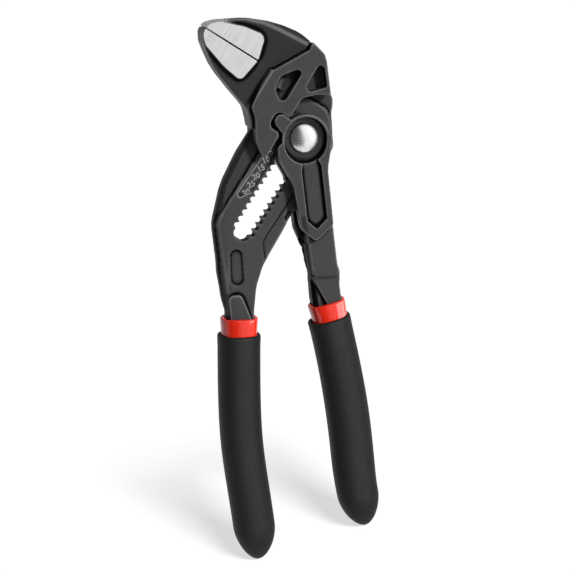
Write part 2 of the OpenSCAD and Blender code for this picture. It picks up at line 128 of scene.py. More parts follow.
def twoTone(tree, pattern, contrast, dark, light):
    low, high = contrast
    share = addNode(tree, "ShaderNodeMapRange", {"Value": pattern}, {"From Min": low, "From Max": high})
    return addNode(tree, "ShaderNodeMix", {mixShare: share.outputs[0]},
                   {mixFrom: linear(dark), mixTo: linear(light)}, data_type="RGBA").outputs[mixed]


def surfaced(tree, shader, look, colour, cloud, grain, more=None):
    # the roughness follows the cloud pattern, the bump the grain
    atLow, atHigh = look["roughness"]
    rough = addNode(tree, "ShaderNodeMapRange", {"Value": cloud}, {"To Min": atLow, "To Max": atHigh})
    bump = addNode(tree, "ShaderNodeBump", {"Height": grain},
                   {"Strength": look["bump"], "Distance": look["bumpDeep"] * mm})
    sources = {"Base Color": colour, "Roughness": rough.outputs[0], "Normal": bump.outputs[0], **(more or {})}
    for socket, source in sources.items():
        tree.links.new(source, shader.inputs[socket])


# Drop-forged steel, shot-blasted and blackened: an even satin skin, rubbed pale and bare on edges, where a
# painted highlight joins the wear, dark and dull in hollows, where painted shade joins the dirt, and darker
# on walls and low faces, which is painted shade
forgedLook = {
    "face": "#464647", "hollow": "#272728", "crevice": "#0a0a0a", "edge": "#c0c0c1",
    "grain": 0.4, "grainTone": (0.82, 1.16), "mottle": 5.0, "mottleTone": (0.9, 1.06), "contrast": (0.3, 0.7),
    "specular": 0.25, "dull": 0.02, "roughness": (0.44, 0.58), "bareWear": (0.55, 0.95), "bareMetal": 0.9,
    "bump": 0.2, "bumpDeep": 0.05,
}


def makeForgedBlack():
    look = forgedLook
    # the plain specular level stands where the export drops the link
    material, tree, shader, place = newMaterial(
        "black_oxide_forging", **{"Specular IOR Level": look["specular"]})
    grain = addNode(tree, "ShaderNodeTexNoise", {"Vector": place},
                    {"Scale": perMm(look["grain"]), "Detail": 3.0, "Roughness": 0.6}).outputs["Fac"]
    mottle = addNode(tree, "ShaderNodeTexNoise", {"Vector": place},
                     {"Scale": perMm(look["mottle"]), "Detail": 4.0, "Roughness": 0.55}).outputs["Fac"]
    height, wearAndHighlight, hollow = [addNode(tree, "ShaderNodeAttribute", attribute_name=name).outputs["Fac"]
                            for name in ("faceLevel", "edgeWearAndHighlight", "dirtAndShade")]
    ends = {mixFrom: linear(look["hollow"]), mixTo: linear(look["face"])}
    base = addNode(tree, "ShaderNodeMix", {mixShare: height}, ends, data_type="RGBA").outputs[mixed]
    low, high = look["contrast"]
    tone, speck = [addNode(tree, "ShaderNodeMapRange", {"Value": noise},
                           {"From Min": low, "From Max": high, "To Min": dark, "To Max": light}).outputs[0]
                   for noise, (dark, light) in ((mottle, look["mottleTone"]), (grain, look["grainTone"]))]
    shade = addNode(tree, "ShaderNodeMath", {0: tone, 1: speck}, operation="MULTIPLY").outputs[0]
    spotted = addNode(tree, "ShaderNodeMix", {mixFrom: base, mixTo: shade}, {mixShare: 1.0},
                      data_type="RGBA", blend_type="MULTIPLY").outputs[mixed]
    # hollows go toward the crevice colour: painted shade together with dirt
    dirtAndShadeMixed = addNode(tree, "ShaderNodeMix", {mixShare: hollow, mixFrom: spotted},
                    {mixTo: linear(look["crevice"])}, data_type="RGBA").outputs[mixed]
    # pale edges are real wear with a painted highlight
    wornAndLit = addNode(tree, "ShaderNodeMath", {0: wearAndHighlight, 1: shade}, operation="MULTIPLY").outputs[0]
    wornLitAndShaded = addNode(tree, "ShaderNodeMix", {mixShare: wornAndLit, mixFrom: dirtAndShadeMixed},
                   {mixTo: linear(look["edge"])}, data_type="RGBA").outputs[mixed]
    covered, bared = look["bareWear"]
    bare = addNode(tree, "ShaderNodeMapRange", {"Value": wearAndHighlight},
                   {"From Min": covered, "From Max": bared, "To Max": look["bareMetal"]})
    sheen = addNode(tree, "ShaderNodeMapRange", {"Value": hollow},
                    {"To Min": look["specular"], "To Max": look["dull"]})
    surfaced(tree, shader, look, wornLitAndShaded, mottle, grain,
             {"Metallic": bare.outputs[0], "Specular IOR Level": sheen.outputs[0]})
    return material


# Steel ground on a belt: bright flats with fine straight scratches that cross the jaw line. Real grit marks
# are finer, and are drawn wider here so that they show
groundLook = {"steel": "#ebebec", "scratch": "#d2d2d4", "scratchWide": 0.13, "scratchLong": 5.0,
              "contrast": (0.35, 0.55), "roughness": (0.4, 0.32), "bump": 0.12, "bumpDeep": 0.02}


def makeGroundSteel():
    look = groundLook
    material, tree, shader, place = newMaterial("belt_ground_steel", **{"Metallic": 1.0})
    turned = addNode(tree, "ShaderNodeMapping", {"Vector": place}, {"Rotation": (0, -stance["lean"], 0)})
    thin = addNode(tree, "ShaderNodeMapping", {"Vector": turned.outputs[0]},
                   {"Scale": (perMm(look["scratchWide"]), perMm(1.0), perMm(look["scratchLong"]))})
    scratch = addNode(tree, "ShaderNodeTexNoise", {"Vector": thin.outputs[0]},
                      {"Scale": 1.0, "Detail": 3.0, "Roughness": 0.6}).outputs["Fac"]
    colour = twoTone(tree, scratch, look["contrast"], look["scratch"], look["steel"])
    surfaced(tree, shader, look, colour, scratch, scratch)
    return material


# Turned steel with concentric tool marks, which on the bright plate stretch the highlights outward from the
# axis. Real feed marks are closer, and are spaced wider here so that they show
turnedLooks = {
    "turned_nickel_plate": {"bright": "#f4f4f4", "dull": "#dadada", "metallic": 1.0, "stretch": 0.75,
                            "roughness": (0.221, 0.299), "spacing": 0.36, "bump": 0.15, "bumpDeep": 0.03},
    "black_oxide_turned": {"bright": "#313132", "dull": "#242425", "metallic": 0.0, "stretch": 0.0,
                           "roughness": (0.425, 0.575), "spacing": 0.5, "bump": 0.2, "bumpDeep": 0.03},
    "plain_hardened_steel": {"bright": "#a2a2a4", "dull": "#7d7d80", "metallic": 1.0, "stretch": 0.0,
                             "roughness": (0.323, 0.437), "spacing": 0.4, "bump": 0.12, "bumpDeep": 0.03},
}
toolMarks = {"smudge": 0.8, "contrast": (0.05, 0.5)}
wavePeriod = 2 * math.pi / 20  # a Wave texture of scale 1 repeats after this length


def makeTurned(name):
    look = turnedLooks[name]
    material, tree, shader, place = newMaterial(
        name, **{"Metallic": look["metallic"], "Anisotropic": look["stretch"]})
    centred = addNode(tree, "ShaderNodeMapping", {"Vector": place},
                      {"Location": (-stance["boltX"] * mm, 0, -stance["boltZ"] * mm)}).outputs[0]
    rings = addNode(tree, "ShaderNodeTexWave", {"Vector": centred},
                    {"Scale": wavePeriod / (look["spacing"] * mm), "Distortion": 0.5, "Detail": 2.0,
                     "Detail Scale": 1.0}, wave_type="RINGS", rings_direction="Y").outputs["Fac"]
    smudge = addNode(tree, "ShaderNodeTexNoise", {"Vector": place},
                     {"Scale": perMm(toolMarks["smudge"]), "Detail": 3.0}).outputs["Fac"]
    both = addNode(tree, "ShaderNodeMath", {0: rings, 1: smudge}, operation="MULTIPLY")
    colour = twoTone(tree, both.outputs[0], toolMarks["contrast"], look["dull"], look["bright"])
    surfaced(tree, shader, look, colour, smudge, rings, {"Tangent": centred})
    return material


# Dipped PVC: the under-coat is smooth and glossy, the outer coat foams to a fine matt grain
dippedLooks = {
    "red_dipped_pvc": {"base": "#e72c17", "dark": "#e02812", "specular": 0.5, "roughness": (0.09, 0.11),
                       "grain": 1.2, "bump": 0.02, "bumpDeep": 0.12},
    "black_foamed_pvc": {"base": "#181818", "dark": "#0c0c0c", "specular": 0.18, "roughness": (0.54, 0.66),
                         "grain": 0.48, "bump": 0.9, "bumpDeep": 0.12},
}
dipMarks = {"ior": 1.53, "cloud": 9.0, "contrast": (0.35, 0.65)}


def makeDipped(name):
    look = dippedLooks[name]
    material, tree, shader, place = newMaterial(
        name, **{"Specular IOR Level": look["specular"], "IOR": dipMarks["ior"]})
    grain = addNode(tree, "ShaderNodeTexNoise", {"Vector": place},
                    {"Scale": perMm(look["grain"]), "Detail": 2.0, "Roughness": 0.55}).outputs["Fac"]
    cloud = addNode(tree, "ShaderNodeTexNoise", {"Vector": place},
                    {"Scale": perMm(dipMarks["cloud"]), "Detail": 3.0}).outputs["Fac"]
    colour = twoTone(tree, grain, dipMarks["contrast"], look["dark"], look["base"])
    surfaced(tree, shader, look, colour, cloud, grain)
    return material


forgedBlack = makeForgedBlack()
groundSteel = makeGroundSteel()
brightButton = makeTurned("turned_nickel_plate")
boltBlack = makeTurned("black_oxide_turned")
hardSteel = makeTurned("plain_hardened_steel")
redVinyl = makeDipped("red_dipped_pvc")
blackVinyl = makeDipped("black_foamed_pvc")
print("materials made")

# Mesh tools
mergeGap = 0.0005 * mm
farAway = 1e9


def readPoints(mesh):
    flat = np.empty(len(mesh.vertices) * 3, np.float32)
    mesh.vertices.foreach_get("co", flat)
    return flat.reshape(-1, 3).astype(float)


def writePoints(mesh, points):
    mesh.vertices.foreach_set("co", points.astype(np.float32).ravel())
    mesh.update()


def readNormals(mesh):
    flat = np.empty(len(mesh.vertices) * 3, np.float32)
    mesh.vertices.foreach_get("normal", flat)
    return flat.reshape(-1, 3)


def readEdges(mesh):
    flat = np.empty(len(mesh.edges) * 2, np.int32)
    mesh.edges.foreach_get("vertices", flat)
    return flat.reshape(-1, 2)


def neighbourMean(values, edges):
    a, b = edges.T
    n = len(values)
    count = np.bincount(a, minlength=n) + np.bincount(b, minlength=n)
    total = [np.bincount(a, column[b], n) + np.bincount(b, column[a], n) for column in values.T]
    return np.stack(total, 1) / np.maximum(count, 1)[:, None]


def setAttribute(mesh, name, values):
    attribute = mesh.attributes.get(name) or mesh.attributes.new(name, "FLOAT", "POINT")
    attribute.data.foreach_set("value", values.astype(np.float32))


def smoothStep(low, high, x):
    t = np.clip((x - low) / (high - low), 0, 1)
    return t * t * (3 - 2 * t)


def rounded(corners, step=math.radians(8), straight=1e-4):
    # an outline from corners that are given as x, y and radius
    points, n = [], len(corners)
    for i, (x, y, r) in enumerate(corners):
        here = np.array((x, y))
        u = np.array(corners[i - 1][:2]) - here
        v = np.array(corners[(i + 1) % n][:2]) - here
        u, v = u / np.linalg.norm(u), v / np.linalg.norm(v)
        half = math.acos(np.clip(u @ v, -1, 1)) / 2
        if r == 0 or half > math.pi / 2 - straight:
            points.append(here)
            continue
        hub = here + (u + v) / np.linalg.norm(u + v) * r / math.sin(half)
        start = here + u * r / math.tan(half) - hub
        sweep = (2 * half - math.pi) * np.sign(u[0] * v[1] - u[1] * v[0])
        count = max(2, math.ceil(abs(sweep) / step))
        for k in range(count + 1):
            c, s = math.cos(sweep * k / count), math.sin(sweep * k / count)
            points.append(hub + (start[0] * c - start[1] * s, start[0] * s + start[1] * c))
    return np.array(points)


def spotDistance(x, y, spot):
    return np.hypot(x - spot[0], y - spot[1])


def pathDistance(x, y, path):
    best = np.full(len(x), farAway)
    for a, b in zip(np.array(path[:-1], float), np.array(path[1:], float)):
        ab = b - a
        t = np.clip(((x - a[0]) * ab[0] + (y - a[1]) * ab[1]) / (ab @ ab), 0, 1)
        best = np.minimum(best, np.hypot(x - a[0] - t * ab[0], y - a[1] - t * ab[1]))
    return best


def outlineDistance(x, y, outline):
    # less than zero inside the outline
    closed = np.vstack([outline, outline[:1]])
    inside = np.zeros(len(x), bool)
    for a, b in zip(closed[:-1], closed[1:]):
        if a[1] != b[1]:
            inside ^= ((a[1] > y) != (b[1] > y)) & (x < a[0] + (y - a[1]) * (b[0] - a[0]) / (b[1] - a[1]))
    away = pathDistance(x, y, closed)
    return np.where(inside, -away, away)


def linked(name, data):
    piece = bpy.data.objects.new(name, data)
    bpy.context.scene.collection.objects.link(piece)
    return piece


def takenFrom(helper):
    # the plain mesh that a helper object has with its modifiers; the helper goes
    mesh = bpy.data.meshes.new_from_object(helper.evaluated_get(bpy.context.evaluated_depsgraph_get()))
    bpy.data.objects.remove(helper)
    return mesh


def grown(tree, mesh, values):
    # runs a node tree on a mesh and gives back the plain result
    helper = linked("helper", mesh)
    modifier = helper.modifiers.new("grow", "NODES")
    modifier.node_group = tree
    for item in tree.interface.items_tree:
        if item.in_out == "INPUT" and item.name in values:
            modifier[item.identifier] = values[item.name]
    return takenFrom(helper)


def newTree(name, inputs, output):
    tree = bpy.data.node_groups.new(name, "GeometryNodeTree")
    for socket, kind in inputs.items():
        tree.interface.new_socket(socket, in_out="INPUT", socket_type="NodeSocket" + kind)
    tree.interface.new_socket(output, in_out="OUTPUT", socket_type="NodeSocketGeometry")
    return tree, addNode(tree, "NodeGroupInput").outputs


def sweepRound(tree, curve, radius, sides, material, output):
    # ends a tree with a round wire along the curve
    circle = addNode(tree, "GeometryNodeCurvePrimitiveCircle", {"Radius": radius}, {"Resolution": sides})
    wire = addNode(tree, "GeometryNodeCurveToMesh", {"Curve": curve, "Profile Curve": circle.outputs[0]},
                   {"Fill Caps": True})
    real = addNode(tree, "GeometryNodeRealizeInstances", {0: wire.outputs[0]})
    coated = addNode(tree, "GeometryNodeSetMaterial", {"Geometry": real.outputs[0], "Material": material})
    addNode(tree, "NodeGroupOutput", {output: coated.outputs[0]})


def finished(piece, body, replaced=(), smooth=math.radians(40)):
    mesh = piece.data
    finish = np.empty(len(mesh.polygons), np.int32)
    mesh.polygons.foreach_get("material_index", finish)
    mesh.polygons.foreach_set("use_smooth", np.ones(len(finish), bool))
    mesh.set_sharp_from_angle(angle=smooth)
    mesh.polygons.foreach_set("use_smooth", finish == 0)  # ground flats keep one even normal
    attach(piece, body)
    if replaced:
        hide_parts(*replaced)
    return piece


# Forgings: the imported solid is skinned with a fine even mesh, eased at its edges and shaped like a forging
def skinned(nodeName, voxel):
    mesh = nodes[nodeName].data.copy()
    bm = bmesh.new()
    bm.from_mesh(mesh)
    bmesh.ops.remove_doubles(bm, verts=bm.verts, dist=mergeGap)
    bm.to_mesh(mesh)
    bm.free()
    helper = linked(nodeName + "_skin", mesh)
    remesh = helper.modifiers.new("skin", "REMESH")
    remesh.mode, remesh.voxel_size, remesh.adaptivity = "VOXEL", voxel * mm, 0.0
    fine = takenFrom(helper)
    fine.materials.clear()
    fine.materials.append(forgedBlack)
    fine.materials.append(groundSteel)
    return fine


def eased(mesh, rounds, keep=1.0, pull=0.6):
    points, edges = readPoints(mesh), readEdges(mesh)
    keep = np.broadcast_to(keep, len(points))[:, None]
    for _ in range(rounds):
        points += (neighbourMean(points, edges) - points) * pull * keep
    writePoints(mesh, points)


def filled(mesh, spots):
    # moves the outline out a little round each spot: place, reach and shift in the jaw plane
    along, across, depth = toJaw(readPoints(mesh))
    for spot, reach, shift in spots:
        near = smoothStep(reach, 0, spotDistance(along, across, spot))
        along, across = along + near * shift[0], across + near * shift[1]
    writePoints(mesh, fromJaw(along, across, depth))


# Ground flats: a belt leaves each a small step over the jaw's side
flatPlan = {"step": 0.85, "stepWide": 0.7, "proud": 0.25, "proudWide": 0.5, "side": (1.6, 0.2),
            "cutReach": 2.5, "cutBelow": 1.2, "cutGap": 1e-8}


def dished(mesh, outline, onJaw):
    # the jaw's side lies lower than the ground flat, which is left proud to be cut later
    plan = flatPlan
    along, across, depth = toJaw(readPoints(mesh))
    away = outlineDistance(along, across, outline)
    low, high = [levels["jaw"] - below for below in plan["side"]]
    side = smoothStep(low, high, np.abs(depth)) * onJaw(along, across)
    proud = plan["proud"] * smoothStep(0, -plan["proudWide"], away)
    wanted = levels["ground"] + proud - plan["step"] * smoothStep(0, plan["stepWide"], away)
    depth = np.sign(depth) * (np.abs(depth) * (1 - side) + wanted * side)
    writePoints(mesh, fromJaw(along, across, depth))


def groundFlat(mesh, outline):
    # the flat is cut like a belt grinder does: everything over the level in and near the outline goes
    plan, level = flatPlan, levels["ground"]
    bm = bmesh.new()
    bm.from_mesh(mesh)
    for side in (1, -1):
        bm.verts.index_update()
        along, across, depth = toJaw(np.array([v.co for v in bm.verts]))
        near = outlineDistance(along, across, outline) < plan["cutReach"]
        near &= depth * side > level - plan["cutBelow"]
        faces = [f for f in bm.faces if all(near[v.index] for v in f.verts)]
        # dictionaries keep their order, which sets do not, so each run gives the same mesh
        edges = dict.fromkeys(e for f in faces for e in f.edges)
        corners = dict.fromkeys(v for f in faces for v in f.verts)
        cut = bmesh.ops.bisect_plane(
            bm, geom=[*faces, *edges, *corners], dist=plan["cutGap"],
            plane_co=(0, -side * level * mm, 0), plane_no=(0, -side, 0), clear_outer=True)
        rim = [e for e in cut["geom_cut"] if isinstance(e, bmesh.types.BMEdge)]
        for face in bmesh.ops.holes_fill(bm, edges=rim, sides=0)["faces"]:
            face.material_index = 1
    bm.normal_update()
    bm.to_mesh(mesh)
    bm.free()


# Wear and light: sharp edges are rubbed most and broad ones less, and carry a painted highlight; narrow and
# wide hollows are painted dark, as shade and dirt
wearAndLightPlan = {
    "strength": 0.52, "edge": 0.035, "start": 0.3, "broadEdge": (0.02, 0.13), "broadShare": 0.55,
    "hollows": ((5, 0.012, 0.06), (26, 0.03, 0.2)), "facing": (0.3, 0.92), "tipCore": 2.0,
    "shutWide": (0.6, 0.35), "shutEnd": -25, "hiddenBelow": 72.0, "hiddenKeep": 0.12,
}


def markWearAndLight(mesh, faceLevel, calm, wornAndLit=0.0, paintedShade=0.0):
    # edges stand over the mean of their neighbours, crevices lie under the mean of a wider patch
    plan = wearAndLightPlan
    points, edges, normals = readPoints(mesh), readEdges(mesh), readNormals(mesh)
    wide = neighbourMean(points, edges)
    bulge = neighbourMean(((points - wide) * normals).sum(1)[:, None] / mm, edges)[:, 0]
    # edges are rubbed, and this also paints their highlight
    wearAndHighlight = np.clip(bulge / plan["edge"] - plan["start"], 0, 1)
    crevice = np.zeros(len(points)) + paintedShade
    for stage, (rounds, shallow, deep) in enumerate(plan["hollows"]):
        for _ in range(rounds):
            wide = neighbourMean(wide, edges)
        over = ((points - wide) * normals).sum(1) / mm
        crevice = np.maximum(crevice, smoothStep(shallow, deep, -over))
        if stage == 0:
            wearAndHighlight = np.maximum(wearAndHighlight, plan["broadShare"] * smoothStep(*plan["broadEdge"], over))
    setAttribute(mesh, "edgeWearAndHighlight", np.maximum(wearAndHighlight * calm * plan["strength"], wornAndLit))
    # the hollows' mask paints shade and dirt
    setAttribute(mesh, "dirtAndShade", crevice)
    # walls turned away from the front keep the darker hollow tone: painted shade
    setAttribute(mesh, "faceLevel", faceLevel * smoothStep(*plan["facing"], np.abs(normals[:, 1])))


def tipRub(along, across, tip):
    spot, reach, amount = tip
    return amount * smoothStep(reach, wearAndLightPlan["tipCore"], spotDistance(along, across, spot))


def shutLine(along, across):
    # the two jaw faces meet in a black line, painted shade in the gap between them
    line = smoothStep(*wearAndLightPlan["shutWide"], np.abs(across - stance["jawLine"]))
    return line * (along < wearAndLightPlan["shutEnd"])


def thinned(mesh):
    # the tongue inside the grip needs few faces
    helper = linked("helper", mesh)
    hidden = np.flatnonzero(readPoints(mesh)[:, 2] < wearAndLightPlan["hiddenBelow"] * mm)
    helper.vertex_groups.new(name="hidden").add(hidden.tolist(), 1.0, "REPLACE")
    decimate = helper.modifiers.new("thin", "DECIMATE")
    decimate.vertex_group = "hidden"
    decimate.ratio = 1 - (1 - wearAndLightPlan["hiddenKeep"]) * len(hidden) / len(mesh.vertices)
    return takenFrom(helper)


# Fixed leg: upper jaw, neck, and the plate with its toothed slot, raised rail and sloping left side
legPlan = {
    "voxel": 0.27, "rounds": 2, "slack": 0.01,
    "fill": [((1.6, 14.3), 5.0, (0.75, 0.7)), ((10.8, 1.4), 5.0, (0.3, 0.25)),
             ((-0.1, -52), 7.0, (-0.4, -0.4)), ((4.5, -57.3), 6.0, (-0.4, -0.4))],
    "slotHalf": 5.2, "slotEnds": (-41, 8), "toothEase": 0.12, "toothCalm": 0.25,
    "railLow": 1.7, "railHigh": 2.12, "railEdge": ((-48, -39.2, -33.6, -18), (12.1, 9.9, 6.3, 7.2)),
    "railRise": (-1.6, -0.6), "railTop": 3,
    "railLine": [(7.1, -17), (7.05, -20), (6.95, -23.5), (6.85, -27.2), (6.6, -32.1), (6.7, -34.4),
                 (7.2, -35.4), (8.8, -37.5), (10.1, -39)],
    "lineWide": (0.6, 0.15), "lineDeep": 0.14, "lineLevels": (1.5, 2.4),
    "lineDarkWide": (0.4, 0.1), "lineDark": 0.9,
    "leftSide": [(-15.2, 13.3), (-15.4, 0), (-15.6, -15), (-14.6, -26.2), (-10.4, -38.4), (-4, -46.3),
                 (4, -56), (9, -62)],
    "slopeWide": 2.4, "slopeTop": 9, "thinLeft": 0.45, "shadeWide": (4.9, 0.5), "leftShade": 0.6,
    "plateTone": (1.2, 2.0), "jawTone": 0.15, "jawCalm": 0.6, "jawStart": -14, "jawOver": 11,
    "ground": [(-45.3, 13.05, 0.2), (-45, 14.5, 1), (-42.5, 16.7, 3), (-35.2, 19.4, 12), (-28, 20.6, 2.4),
               (-26, 13.05, 0.3)],
    "rubbedTip": ((-46.5, 14.5), 10.0, 1.0),
    "paintedRimHighlight": [(-46, 14.3), (-42.8, 17.4), (-36.1, 21.7), (-30, 23.7), (-24.6, 24.5), (-15.2, 25.3)],
    "rimWide": (0.9, 0.2), "rimLevel": 3.2, "rimHighlightShare": 0.3,
}


def onUpperJaw(along, across):
    return (along < legPlan["jawStart"]) & (across > legPlan["jawOver"])


def buildLeg():
    plan = legPlan
    plateTop = levels["plate"] + plan["slack"]
    mesh = skinned("fixed_jaw_leg", plan["voxel"])
    filled(mesh, plan["fill"])
    along, across, depth = toJaw(readPoints(mesh))
    size = np.abs(depth)
    high = np.where(size < plan["railLow"], size * plan["railHigh"] / plan["railLow"],
                    np.interp(size, [plan["railLow"], levels["plate"]], [plan["railHigh"], levels["plate"]]))
    foot, top = [np.interp(across, *plan["railEdge"]) + rise for rise in plan["railRise"]]
    lift = smoothStep(foot, top, along) * (across < plan["railTop"]) * (size <= plateTop)
    size = size * (1 - lift) + high * lift
    beside = smoothStep(plan["slopeWide"], 0, pathDistance(along, across, plan["leftSide"]))
    thin = 1 - (1 - plan["thinLeft"]) * beside
    thin = np.where((across < plan["slopeTop"]) & (size < plateTop) & (depth > 0), thin, 1)
    lowest, highest = plan["lineLevels"]
    line = smoothStep(*plan["lineWide"], pathDistance(along, across, plan["railLine"]))
    size = size - plan["lineDeep"] * line * (size > lowest) * (size < highest)
    writePoints(mesh, fromJaw(along, across, np.sign(depth) * size * thin))
    slotLow, slotTop = plan["slotEnds"]
    teeth = (np.abs(along) < plan["slotHalf"]) & (across < slotTop) & (across > slotLow)
    eased(mesh, plan["rounds"], np.where(teeth, plan["toothEase"], 1.0))
    outline = rounded(plan["ground"])
    dished(mesh, outline, onUpperJaw)
    eased(mesh, 1, np.where(teeth, 0.0, 1.0))
    along, across, depth = toJaw(readPoints(mesh))
    size, onJaw = np.abs(depth), onUpperJaw(along, across)
    # the upper jaw's side, the plate's low faces and its left strip take the darker tone as painted shade
    left = smoothStep(*plan["shadeWide"], pathDistance(along, across, plan["leftSide"]))
    plateTone = smoothStep(*plan["plateTone"], size) * (1 - plan["leftShade"] * left)
    # a pale line along the upper jaw's top edge: a painted highlight
    rim = smoothStep(*plan["rimWide"], pathDistance(along, across, plan["paintedRimHighlight"]))
    rim = plan["rimHighlightShare"] * rim * (size > plan["rimLevel"])
    wornAndLit = np.maximum(tipRub(along, across, plan["rubbedTip"]), rim)
    # a dark line along the groove beside the rail, and the jaws' shut line, are painted shade
    line = smoothStep(*plan["lineDarkWide"], pathDistance(along, across, plan["railLine"])) * (size > lowest)
    paintedShade = np.maximum(plan["lineDark"] * line, shutLine(along, across))
    calm = np.where(teeth, plan["toothCalm"], np.where(onJaw, plan["jawCalm"], 1.0))
    markWearAndLight(mesh, np.where(onJaw, plan["jawTone"], plateTone), calm, wornAndLit, paintedShade)
    mesh = thinned(mesh)
    groundFlat(mesh, outline)
    return finished(linked("forged_fixed_jaw_leg", mesh), "fixed_leg", ["fixed_jaw_leg"])


# Sliding jaw: lower jaw and the two windowed cheeks
jawPlan = {
    "voxel": 0.22, "rounds": 3,
    "fill": [((-41, 6.3), 6.6, (-0.25, -0.43)), ((-36, 2.4), 6.6, (-0.25, -0.43)),
             ((-30, -1.5), 6.6, (-0.25, -0.43)), ((-24, -4), 6.6, (-0.2, -0.3))],
    "ground": [(-45.3, 12.55, 0.2), (-44.9, 10.7, 1), (-42.7, 8.4, 3), (-34.1, 5.7, 12), (-27.4, 4.75, 1.6),
               (-26, 12.55, 0.3)],
    "jawStart": (-20.5, -22), "jawUnder": 13, "cheekTone": (5.2, 6.2), "jawTone": 0.25,
    "rubbedTip": ((-46.5, 11.0), 9.0, 0.22), "calm": ((-45, -38, -28, -24), (1.4, 0.9, 0.5, 1.0)),
}


def onLowerJaw(along, across):
    return smoothStep(*jawPlan["jawStart"], along) * (across < jawPlan["jawUnder"])


def buildJaw():
    plan = jawPlan
    mesh = skinned("sliding_jaw", plan["voxel"])
    filled(mesh, plan["fill"])
    eased(mesh, plan["rounds"])
    outline = rounded(plan["ground"])
    dished(mesh, outline, onLowerJaw)
    eased(mesh, 1)
    along, across, depth = toJaw(readPoints(mesh))
    # the jaw body, lower than the cheeks, takes the darker tone as painted shade
    tone = smoothStep(*plan["cheekTone"], np.abs(depth)) * (1 - plan["jawTone"]) + plan["jawTone"]
    calm = np.interp(along, *plan["calm"])
    markWearAndLight(mesh, tone, calm, tipRub(along, across, plan["rubbedTip"]), shutLine(along, across))
    groundFlat(mesh, outline)
    return finished(linked("forged_sliding_jaw", mesh), "jaw", ["sliding_jaw"])


# Lever: fork, boss and shank, whose left side slopes back to a rear edge that stands out
leverPlan = {
    "voxel": 0.24, "rounds": 3, "fill": [((34.2, -31.2), 4.5, (0.55, 0.45))],
    "leftSide": [(13, -22), (14.8, -24.4), (20.5, -29.8), (26.3, -36.3), (32, -43), (38, -50)],
    "slopeWide": 1.6, "thinLeft": 0.4, "thinFrom": (-28.2, -29.8), "middle": 2.45,
    "rearFull": 0.45, "rearFrom": (-2.4, -3.4), "rearOut": (-0.52, -0.46), "rearOutEnds": (-41, -29),
    "corner": ((20.0, -29.2), 2.2, (-0.7, 0.5)), "cornerCore": 0.2,
    "prongFoot": ((14.0, -25.0), (20.6, -26.1)), "webWide": (1.8, 0.3), "webSlope": 0.66, "webLong": 6,
    "crease": ((26.6, -36.1), (33.8, -31.8)), "creaseWide": (2.2, 0.6), "creaseLevel": 2.8,
    "creaseRounds": 16,
    "faceTone": (2.6, 3.4), "flankNear": 0.2, "flankFront": 2.7, "flankTurned": (0.8, 0.5), "flankDark": 0.85,
}


def buildLever():
    plan = leverPlan
    mesh = skinned("lever_leg", plan["voxel"])
    filled(mesh, plan["fill"])
    along, across, depth = toJaw(readPoints(mesh))
    beside = smoothStep(plan["slopeWide"], 0, pathDistance(along, across, plan["leftSide"]))
    thin = 1 - (1 - plan["thinLeft"]) * beside * smoothStep(*plan["thinFrom"], across)
    full = 1 + plan["rearFull"] * beside
    depth = depth * np.where(np.abs(depth) < plan["middle"], np.where(depth > 0, thin, full), 1)
    # the rear edge stands out, clear of the left coat at full slide
    rear = smoothStep(*plan["rearFrom"], depth)
    out = beside * rear * smoothStep(*plan["rearOutEnds"], across)
    along, across = along + out * plan["rearOut"][0], across + out * plan["rearOut"][1]
    spot, reach, shift = plan["corner"]
    near = smoothStep(reach, plan["cornerCore"], spotDistance(along, across, spot)) * rear
    along, across = along + near * shift[0], across + near * shift[1]
    # a web runs from the rear prong's foot down to that edge
    web = smoothStep(*plan["webWide"], pathDistance(along, across, plan["prongFoot"])) * rear
    across = across - web * plan["webSlope"] * np.clip(along - plan["prongFoot"][0][0], 0, plan["webLong"])
    writePoints(mesh, fromJaw(along, across, depth))
    eased(mesh, plan["rounds"])
    crease = smoothStep(*plan["creaseWide"], pathDistance(along, across, plan["crease"]))
    eased(mesh, plan["creaseRounds"], crease * (np.abs(depth) > plan["creaseLevel"]))
    along, across, depth = toJaw(readPoints(mesh))
    left = smoothStep(plan["slopeWide"], plan["flankNear"], pathDistance(along, across, plan["leftSide"]))
    # the flank is turned from the light, so it is painted in shade, and little rubbed
    flank = left * (depth < plan["flankFront"]) * smoothStep(*plan["flankTurned"], readNormals(mesh)[:, 1])
    dark = plan["flankDark"] * flank
    # low faces and the left flank take the darker tone as painted shade
    markWearAndLight(mesh, smoothStep(*plan["faceTone"], np.abs(depth)) * (1 - left), 1 - dark, paintedShade=dark)
    return finished(linked("forged_lever_leg", thinned(mesh)), "lever", ["lever_leg"])


for piece in (buildLeg(), buildJaw(), buildLever()):
    print(piece.name, len(piece.data.polygons), "faces")

